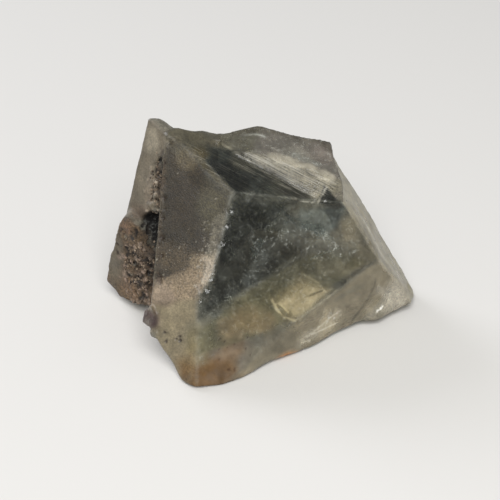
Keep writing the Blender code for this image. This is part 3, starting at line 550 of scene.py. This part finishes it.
def paintStone(stone, points, shares, edge, scattered):
    # colour, roughness, clearness, relief, veils, specks and streaks of each point of the skin
    looks = {**quartzStone["faces"], "breaks": quartzStone["breaks"]}
    tone = sum(shares[name][:, None] * toLinear(face["tone"]) for name, face in looks.items())
    kinds = ("rough", "clear", "relief", "veil", "specks", "streak")
    values = {kind: sum(shares[name] * looks[name].get(kind, 0) for name in looks) for kind in kinds}

    def lay(weight, over):
        weight = weight * over["strength"]
        tone[:] += weight[:, None] * (toLinear(over["tone"]) - tone)
        for kind in kinds:
            if kind in over:
                values[kind] += weight * (over[kind] - values[kind])

    size, amount = quartzStone["stainNoise"]
    for number, stain in enumerate(quartzStone["stains"]):
        reach = np.linalg.norm((points - stain["at"]) / stain["half"], axis=1)
        reach += amount * layeredNoise(points, size, seed=40 + number)
        lay(1 - ramp(reach, 0.35, 1.15), stain)
    size, amount = quartzStone["patchNoise"]
    for number, patch in enumerate(quartzStone["patches"]):
        depth, away = insideDepth(points, patch["corners"])
        depth += amount * layeredNoise(points, size, seed=70 + number)
        soft = patch["soft"] / 2
        lay(ramp(depth, -soft, soft) * (1 - ramp(away, 0.6, 1.0)), patch)
    patchy = ramp(layeredNoise(points, quartzStone["fade"], seed=7), -0.5, 0.4)
    lay(edge * patchy, quartzStone["wornEdge"])
    size, amount = quartzStone["lineNoise"]
    for number, line in enumerate(quartzStone["lines"]):
        width = line["width"]
        away = lineDistance(points, line["path"])
        away += amount * width * layeredNoise(points, size, seed=80 + number)
        lay((1 - ramp(away, width * 0.4, width * 1.2)) * (0.6 + 0.4 * patchy), line)
    for field, weight in scattered:
        lay(weight, field)
    layers = {
        "tone": tone.T,
        "look": [values[kind] for kind in kinds[:3]],
        "marks": [values[kind] for kind in kinds[3:]],
    }
    for name, columns in layers.items():
        layer = stone.data.attributes.new(name, "FLOAT_COLOR", "POINT")
        colours = np.column_stack([*columns, np.ones(len(points))])
        layer.data.foreach_set("color", colours.ravel())


def shapeStone(stone, points, normals, edges, shares, edge, scattered):
    # rounded spots, bulges, frosting, slow waves, lumps, chipped edges, growth lines and pits
    shape = quartzStone
    spots = shape["softSpots"]
    near = [1 - ramp(np.linalg.norm(points - spot["at"], axis=1) / spot["reach"], 0.4, 1.0)
            for spot in spots]
    moved = points.copy()
    for turn in range(max(spot["rounds"] for spot in spots)):
        share = np.max([weight for weight, spot in zip(near, spots) if turn < spot["rounds"]], axis=0)
        moved = spread(moved, edges, 1, share[:, None])
    pulls = shape["pulls"]
    near = np.array([1 - ramp(np.linalg.norm(points - pull["at"], axis=1) / pull["reach"], 0, 1)
                     for pull in pulls])
    moves = near.T @ np.array([pull["move"] for pull in pulls])
    moved += moves / np.maximum(near.sum(axis=0), 1)[:, None]
    height = shape["skin"] * layeredNoise(points, shape["skinSize"], seed=1)
    height += shape["wave"] * layeredNoise(points, shape["waveSize"], seed=5, layers=2)
    porous = shares["stub"] + 0.5 * shares["flank"]
    height += shape["lump"] * porous * layeredNoise(points, shape["lumpSize"], seed=9, layers=4)
    chipped = ramp(layeredNoise(points, shape["chipSize"], seed=31), -0.1, 0.6)
    height -= shape["chip"] * edge * chipped
    along = np.array(shape["ridge"]) / np.linalg.norm(shape["ridge"])
    across = np.cross(along, shape["ridgeFace"])
    lined = np.column_stack([points @ along / shape["lineLength"],
                             points @ across / shape["lineSpacing"], np.zeros(len(points))])
    height += shape["striation"] * shares["striated"] * softNoise(lined, 1.0, seed=21)
    for field, weight in scattered:
        height -= field["depth"] * weight
    height *= ramp(points[:, 2], 0.0, 1.0)        # the base stays flat
    moved += normals * height[:, None]
    moved[:, 2] = np.maximum(moved[:, 2], 0)
    stone.data.vertices.foreach_set("co", (moved * mm).ravel())
    stone.data.update()


# Smoky quartz: clear glassy crystal, darkened by absorption, under a frosted and stained skin that
# was cleaved, not polished, so it shines softly on some faces and not at all on others.
quartzFinish = {
    "ior": 1.544,
    "absorption": "#a2a391", "density": 60.0,     # per metre
    "noises": {
        # size in mm, detail and twist
        "mottle": (2.2, 4.0, 0.0),                # soft clouds in the colour
        "grain": (0.34, 2.0, 0.0),                # fine frosting
        "streaks": (0.22, 3.0, 0.0),              # growth lines along the ridge, seen by their colour
        "veil": (1.5, 8.0, 0.8), "veilBreak": (0.8, 4.0, 0.0),     # wisps of tiny bubbles
        "patchy": (3.7, 3.0, 0.0),                # duller and shinier places
        "haze": (3.4, 6.0, 0.5), "frost": (0.5, 3.0, 0.0),
        "bumpCoarse": (1.3, 6.0, 0.0), "bumpFine": (0.22, 2.0, 0.0),
    },
    "ranges": {
        # a pattern, two of its values, and what they become
        "shade": ("mottle", 0.3, 0.7, 0.72, 1.28),
        "fine": ("grain", 0.3, 0.7, -0.6, 0.6),
        "pale": ("streaks", 0.52, 0.64, 0.0, 1.0),
        "dark": ("streaks", 0.46, 0.34, 0.0, 0.9),
        "curl": ("veilLine", 0.035, 0.0, 0.0, 1.0),
        "broken": ("veilBreak", 0.45, 0.6, 0.0, 1.0),
        "chips": ("cells", 0.14, 0.08, 0.0, 0.8),
        "dull": ("patchy", 0.35, 0.65, 0.75, 1.35),
        "hazy": ("haze", 0.44, 0.66, 1.0, 0.87),
        "frosted": ("frost", 0.52, 0.72, 1.0, 0.94),
    },
    "streakLength": 34.0,                         # how many times longer than wide
    "speckCell": 0.9,                             # one tiny bright chip to a cell
    "paleStreak": "#ece6d2", "darkStreak": "#4d4c43", "veilTone": "#dfe3da", "speckTone": "#d6cfbe",
    "veiled": 0.3,                                # the clearness that a veil leaves
    "bumpHeight": 0.09, "lineBump": 2.0,          # the growth lines count twice in the relief
}


def quartzMaterial():
    # the painted looks of the skin, broken up by streaks, veils, specks and dull places
    finish = quartzFinish
    material, tree, shader = newMaterial("smokyQuartz")
    place = addNode(tree, "ShaderNodeTexCoord").outputs["Object"]
    painted = {}
    for name in ("tone", "look", "marks"):
        painted[name] = addNode(tree, "ShaderNodeAttribute", {"attribute_name": name})
    parts = {}
    for name, kinds in (("look", ("rough", "clear", "relief")), ("marks", ("veils", "specks", "streaked"))):
        split = addNode(tree, "ShaderNodeSeparateColor", None, {"Color": painted[name]})
        parts.update(zip(kinds, split.outputs))
    along = Vector(quartzStone["ridge"]).to_track_quat("X", "Z").to_euler()
    turned = addNode(tree, "ShaderNodeMapping", {"vector_type": "TEXTURE"}, {
        "Vector": place, "Rotation": along, "Scale": (finish["streakLength"], 1, 1)})
    for name, (size, detail, twist) in finish["noises"].items():
        parts[name] = addNode(tree, "ShaderNodeTexNoise", None, {
            "Vector": turned if name == "streaks" else place, "Scale": 1 / (size * mm),
            "Detail": detail, "Roughness": 0.6, "Distortion": twist})
    # a veil is a thin curl, where a twisted noise crosses its middle
    crossing = addNode(tree, "ShaderNodeMath", {"operation": "SUBTRACT"}, {0: parts["veil"], 1: 0.5})
    parts["veilLine"] = addNode(tree, "ShaderNodeMath", {"operation": "ABSOLUTE"}, {0: crossing})
    parts["cells"] = addNode(tree, "ShaderNodeTexVoronoi", None, {
        "Vector": place, "Scale": 1 / (finish["speckCell"] * mm)})
    for name, (source, low, high, least, most) in finish["ranges"].items():
        parts[name] = addNode(tree, "ShaderNodeMapRange", None, {
            "Value": parts[source], "From Min": low, "From Max": high, "To Min": least, "To Max": most})
    for name, first, second in (
            ("grained", "fine", "relief"), ("paleStreak", "pale", "streaked"),
            ("darkStreak", "dark", "streaked"), ("curls", "curl", "broken"), ("veilTone", "curls", "veils"),
            ("speckTone", "chips", "specks"), ("roughness", "rough", "dull"),
            ("clouded", "hazy", "frosted"), ("lined", "streaks", "streaked")):
        parts[name] = addNode(tree, "ShaderNodeMath", {"operation": "MULTIPLY"}, {
            0: parts[first], 1: parts[second]})
    shade = addNode(tree, "ShaderNodeMath", {"operation": "MULTIPLY_ADD"}, {
        0: parts["grained"], 1: parts["shade"], 2: parts["shade"]})
    colour = addNode(tree, "ShaderNodeVectorMath", {"operation": "SCALE"}, {
        0: painted["tone"], "Scale": shade})
    for name in ("paleStreak", "darkStreak", "veilTone", "speckTone"):
        colour = addNode(tree, "ShaderNodeMix", {"data_type": "RGBA"}, {
            0: parts[name], 6: colour, 7: finish[name]}).outputs[2]
    # veils and clouds scatter light, so less of it goes in
    left = addNode(tree, "ShaderNodeMapRange", None, {
        "Value": parts["veilTone"], "To Min": 1.0, "To Max": finish["veiled"]})
    clouded = addNode(tree, "ShaderNodeMath", {"operation": "MULTIPLY"}, {0: left, 1: parts["clouded"]})
    through = addNode(tree, "ShaderNodeMath", {"operation": "MULTIPLY"}, {0: parts["clear"], 1: clouded})
    summed = addNode(tree, "ShaderNodeMath", {"operation": "ADD"}, {
        0: parts["bumpCoarse"], 1: parts["bumpFine"]})
    height = addNode(tree, "ShaderNodeMath", {"operation": "MULTIPLY_ADD"}, {
        0: parts["lined"], 1: finish["lineBump"], 2: summed})
    bump = addNode(tree, "ShaderNodeBump", None, {
        "Height": height, "Strength": parts["relief"], "Distance": finish["bumpHeight"] * mm})
    setInputs(tree, shader, {
        "Base Color": colour, "Roughness": parts["roughness"], "Transmission Weight": through,
        "Normal": bump, "IOR": finish["ior"]})
    absorb = addNode(tree, "ShaderNodeVolumeAbsorption", None, {
        "Color": finish["absorption"], "Density": finish["density"]})
    setInputs(tree, tree.nodes["Material Output"], {"Volume": absorb})
    return material


# Healed cracks inside the stone: sheets of tiny flat flakes. Each sheet starts at a point under the
# front face and has two directions, how much it bows, and its flakes for each square millimetre.
healedCracks = {
    "flake": (0.07, 0.24),                        # smallest and largest half width
    "flatness": 0.16,
    # a sheet has a hole where noise of this width, raised away from the rim, is below torn
    "torn": 0.35, "tornSize": 2.0, "rim": 2.2,
    "tone": "#eef1ea", "shade": "#a9aea6", "rough": 0.35,
    "patch": 1.2,                                 # width in mm of its milkier patches
    "sheets": [
        {"at": (4.4, 1.6, 26.0), "along": (4.6, -0.8, -5.4), "deep": (-1.6, 3.4, -0.6),
         "bow": 0.6, "flakes": 26},
        {"at": (7.0, 0.2, 20.6), "along": (9.6, 1.6, -4.4), "deep": (-2.6, 3.2, 2.6),
         "bow": 1.4, "flakes": 18},
        {"at": (2.4, -1.8, 20.6), "along": (-2.2, -3.2, -5.4), "deep": (-2.2, 3.0, 1.6),
         "bow": 1.2, "flakes": 22},
        {"at": (-3.4, -2.6, 21.0), "along": (2.0, -1.6, -4.6), "deep": (-2.6, 3.0, 1.4),
         "bow": -1.0, "flakes": 8},
        {"at": (9.4, -1.6, 14.6), "along": (8.2, 3.4, 1.2), "deep": (-1.4, 3.6, -1.4),
         "bow": 0.8, "flakes": 8},
    ],
}


def crackSheet(sheet, number, steps=36):
    # the sheet's mesh: a bowed grid, ragged at its rim and torn in places
    start, along, deep = (np.array(sheet[key], float) for key in ("at", "along", "deep"))
    across = np.cross(along, deep)
    across /= np.linalg.norm(across)
    grid = [(u, v) for v in np.linspace(0, 1, steps) for u in np.linspace(0, 1, steps)]
    points = [start + along * u + deep * v + across * sheet["bow"] * math.sin(math.pi * u) * (1 - v)
              for u, v in grid]
    cells = [(row, n) for row in range(steps - 1) for n in range(steps - 1)]
    corners = np.array([0, 1, steps + 1, steps])
    faces = [(row * steps + n + corners).tolist() for row, n in cells]
    middles = np.array([sum(points[n] for n in face) / 4 for face in faces])
    rim = np.array([min(n, steps - 2 - n, row, steps - 2 - row) / steps for row, n in cells])
    whole = layeredNoise(middles, healedCracks["tornSize"], seed=300 + number, layers=4)
    whole += healedCracks["rim"] * rim
    faces = [face for face, kept in zip(faces, whole > healedCracks["torn"]) if kept]
    mesh = bpy.data.meshes.new("crackSheet")
    mesh.from_pydata([point * mm for point in points], [], faces)
    return mesh


def scatterTree(name, material):
    # scatters small flattened grains over a mesh, each turned and narrowed at random
    tree = bpy.data.node_groups.new(name, "GeometryNodeTree")
    tree.is_modifier = True
    inputs = {}
    for label, kind in (("Surface", "Geometry"), ("Per Area", "Float"), ("Smallest", "Float"),
                        ("Largest", "Float"), ("Flatness", "Float"), ("Seed", "Int")):
        inputs[label] = tree.interface.new_socket(label, in_out="INPUT", socket_type="NodeSocket" + kind)
    tree.interface.new_socket("Grains", in_out="OUTPUT", socket_type="NodeSocketGeometry")
    given = tree.nodes.new("NodeGroupInput").outputs
    spots = addNode(tree, "GeometryNodeDistributePointsOnFaces", None, {
        "Mesh": given["Surface"], "Density": given["Per Area"], "Seed": given["Seed"]})
    grain = addNode(tree, "GeometryNodeMeshIcoSphere", None, {"Radius": 1.0, "Subdivisions": 1})
    size = addNode(tree, "FunctionNodeRandomValue", {"data_type": "FLOAT"}, {
        2: given["Smallest"], 3: given["Largest"], "Seed": given["Seed"]}).outputs[1]
    narrow = addNode(tree, "FunctionNodeRandomValue", {"data_type": "FLOAT"}, {
        2: 0.45, 3: 1.0, "Seed": given["Seed"]}).outputs[1]
    thin = addNode(tree, "ShaderNodeMath", {"operation": "MULTIPLY"}, {0: size, 1: given["Flatness"]})
    slim = addNode(tree, "ShaderNodeMath", {"operation": "MULTIPLY"}, {0: size, 1: narrow})
    scale = addNode(tree, "ShaderNodeCombineXYZ", None, {"X": size, "Y": slim, "Z": thin})
    # tilted by up to half a radian, and turned any way round
    turn = addNode(tree, "FunctionNodeRandomValue", {"data_type": "FLOAT_VECTOR"}, {
        0: (-0.5, -0.5, -3.1), 1: (0.5, 0.5, 3.1), "Seed": given["Seed"]})
    facing = addNode(tree, "FunctionNodeRotateRotation", {"rotation_space": "LOCAL"}, {
        "Rotation": spots.outputs["Rotation"], "Rotate By": turn})
    placed = addNode(tree, "GeometryNodeInstanceOnPoints", None, {
        "Points": spots, "Instance": grain, "Rotation": facing, "Scale": scale})
    real = addNode(tree, "GeometryNodeRealizeInstances", None, {"Geometry": placed})
    finished = addNode(tree, "GeometryNodeSetMaterial", None, {"Geometry": real, "Material": material})
    addNode(tree, "NodeGroupOutput", None, {"Grains": finished})
    return tree, {label: socket.identifier for label, socket in inputs.items()}


def scatterOver(name, surface, tree, keys, values):
    # a piece of real grains scattered over a surface mesh
    piece = newPiece(name, surface)
    modifier = piece.modifiers.new("grains", "NODES")
    modifier.node_group = tree
    for label, value in values.items():
        modifier[keys[label]] = value
    bakeModifiers(piece)
    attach(piece, "root")


def healedCrackMaterial():
    # walls of healed cracks: tiny bubbles that scatter light, milky white and half see-through
    material, tree, shader = newMaterial("healedCrack")
    place = addNode(tree, "ShaderNodeTexCoord").outputs["Object"]
    patchy = addNode(tree, "ShaderNodeTexNoise", None, {
        "Vector": place, "Scale": 1 / (healedCracks["patch"] * mm), "Detail": 4.0})
    colour = addNode(tree, "ShaderNodeMix", {"data_type": "RGBA"}, {
        0: patchy, 6: healedCracks["shade"], 7: healedCracks["tone"]}).outputs[2]
    clear = addNode(tree, "ShaderNodeMapRange", None, {
        "Value": patchy, "From Min": 0.35, "From Max": 0.65, "To Min": 0.6, "To Max": 0.0})
    setInputs(tree, shader, {
        "Base Color": colour, "Transmission Weight": clear, "Roughness": healedCracks["rough"]})
    return material


def buildCracks():
    # one piece of flakes for each sheet
    tree, keys = scatterTree("healedCrackFlakes", healedCrackMaterial())
    small, large = healedCracks["flake"]
    for number, sheet in enumerate(healedCracks["sheets"]):
        scatterOver(f"healedCrack{number}", crackSheet(sheet, number), tree, keys, {
            "Per Area": sheet["flakes"] / mm ** 2, "Smallest": small * mm, "Largest": large * mm,
            "Flatness": healedCracks["flatness"], "Seed": number})


# Porous crust: iron-stained grains that sit on the left foot and along the crevice.
crust = {
    "name": "crustGrains",
    "grain": (0.1, 0.3), "perArea": 2.4, "flatness": 0.8,        # half widths in mm, grains per mm2
    "shades": ((0.36, "#1e1610"), (0.52, "#665746"), (0.68, "#ab9985")),     # dark, brown and pale
    "blotch": 1.0, "rough": 0.8,
    # left foot, crevice, and the crack between them: middle and half sizes
    "areas": [
        {"at": (-20.8, 3.8, 10.5), "half": (3.0, 5, 8.6)},
        {"at": (-17.0, 5.2, 27.0), "half": (1.3, 3, 8.0)},
        {"at": (-18.4, 3.4, 14.0), "half": (1.6, 4, 3.4)},
    ],
    "ragged": 0.6, "raggedSize": 2.4,             # how much their outlines wander
}


def crustMaterial():
    # iron-stained crust: dull brown and pale grains side by side, with no shine
    material, tree, shader = newMaterial("ironStainedCrust")
    place = addNode(tree, "ShaderNodeTexCoord").outputs["Object"]
    blotch = addNode(tree, "ShaderNodeTexNoise", None, {
        "Vector": place, "Scale": 1 / (crust["blotch"] * mm), "Detail": 3.0})
    shades = addNode(tree, "ShaderNodeValToRGB", None, {"Fac": blotch})
    stops = shades.color_ramp.elements
    stops.new(0.5)
    for stop, (value, tone) in zip(stops, crust["shades"]):
        stop.position = value
        stop.color = [*toLinear(tone), 1]
    setInputs(tree, shader, {"Base Color": shades, "Roughness": crust["rough"]})
    return material


def buildCrust(stone):
    # grains over those faces of the finished stone that the crust covers, with a ragged outline
    points, _, _ = meshArrays(stone.data)
    weight = np.zeros(len(points))
    for number, area in enumerate(crust["areas"]):
        away = np.linalg.norm((points - area["at"]) / area["half"], axis=1)
        away += crust["ragged"] * layeredNoise(points, crust["raggedSize"], seed=400 + number)
        weight = np.maximum(weight, 1 - ramp(away, 0.5, 1.0))
    mesh = bmesh.new()
    mesh.from_mesh(stone.data)
    mesh.verts.ensure_lookup_table()
    bare = [face for face in mesh.faces if max(weight[vert.index] for vert in face.verts) < 0.5]
    bmesh.ops.delete(mesh, geom=bare, context="FACES")
    surface = bpy.data.meshes.new(crust["name"])
    mesh.to_mesh(surface)
    mesh.free()
    tree, keys = scatterTree("grainsOverCrust", crustMaterial())
    small, large = crust["grain"]
    scatterOver(crust["name"], surface, tree, keys, {
        "Per Area": crust["perArea"] / mm ** 2, "Smallest": small * mm, "Largest": large * mm,
        "Flatness": crust["flatness"], "Seed": 7})


print("stone: fine mesh")
stone, cadTree, cadFaces = fineStone()
points, normals, edges = meshArrays(stone.data)
shares, edge = faceShares(points, edges, cadTree, cadFaces)
print("stone:", len(points), "points; skin and colours")
scattered = list(scatterMarks(points))
shapeStone(stone, points, normals, edges, shares, edge, scattered)
paintStone(stone, points, shares, edge, scattered)
stone.data.materials.clear()
stone.data.materials.append(quartzMaterial())
stone.data.shade_smooth()
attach(stone, "root")
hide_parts("quartz")
print("healed cracks")
buildCracks()
print("crust")
buildCrust(stone)


# The table, the light and the camera.
studio = {
    "floorSize": 4.0, "floor": "#dcdad6", "floorRough": 0.7, "floorShine": 0.2,
    "gap": 0.15,                                  # in mm; the base touches the table only in spots
    "world": "#f0f1f0", "worldStrength": 0.33,
    "lights": [
        # in metres and watts; each looks at the stone
        {"at": (0.0, -0.42, 0.6), "size": 0.5, "power": 5.3, "colour": "#ffffff"},
        {"at": (-0.5, 0.42, 0.42), "size": 0.3, "power": 2.3, "colour": "#f4f6ff"},
    ],
    "look": (0.0, 0.0, 17.0), "elevation": 35.0, "distance": 260.0,
    "focal": 1430.0, "picture": 500.0,            # focal length and width of the picture, in pixels
    "sensor": 36.0,
}


def buildStudio():
    # an even pale sky, the table, two soft lights, and the camera
    world = bpy.data.worlds.new("studio")
    bpy.context.scene.world = world
    world.use_nodes = True
    sky = world.node_tree.nodes["Background"]
    setInputs(world.node_tree, sky, {"Color": studio["world"], "Strength": studio["worldStrength"]})
    bpy.ops.mesh.primitive_plane_add(size=studio["floorSize"], location=(0, 0, -studio["gap"] * mm))
    floor = bpy.context.object
    floor.name = "floor"
    # a pale matt table, with hardly a shine
    material, tree, shader = newMaterial("paleTable")
    setInputs(tree, shader, {
        "Base Color": studio["floor"], "Roughness": studio["floorRough"],
        "Specular IOR Level": studio["floorShine"]})
    floor.data.materials.append(material)
    target = Vector(studio["look"]) * mm
    for number, light in enumerate(studio["lights"]):
        lamp = bpy.data.lights.new(f"softbox{number}", "AREA")
        lamp.size = light["size"]
        lamp.energy = light["power"]
        lamp.color = toLinear(light["colour"])
        holder = bpy.data.objects.new(lamp.name, lamp)
        bpy.context.scene.collection.objects.link(holder)
        holder.location = light["at"]
        holder.rotation_euler = (target - holder.location).to_track_quat("-Z", "Y").to_euler()
    camera = bpy.data.objects.new("camera", bpy.data.cameras.new("camera"))
    bpy.context.scene.collection.objects.link(camera)
    tilt = math.radians(studio["elevation"])
    back = Vector((0, -math.cos(tilt), math.sin(tilt)))
    camera.location = target + back * studio["distance"] * mm
    camera.rotation_euler = (-back).to_track_quat("-Z", "Y").to_euler()
    camera.data.sensor_width = studio["sensor"]
    camera.data.lens = studio["focal"] / studio["picture"] * studio["sensor"]
    camera.data.clip_start = 0.01
    bpy.context.scene.camera = camera
    bpy.context.scene.view_settings.view_transform = "Standard"


print("studio: table, light and camera")
buildStudio()
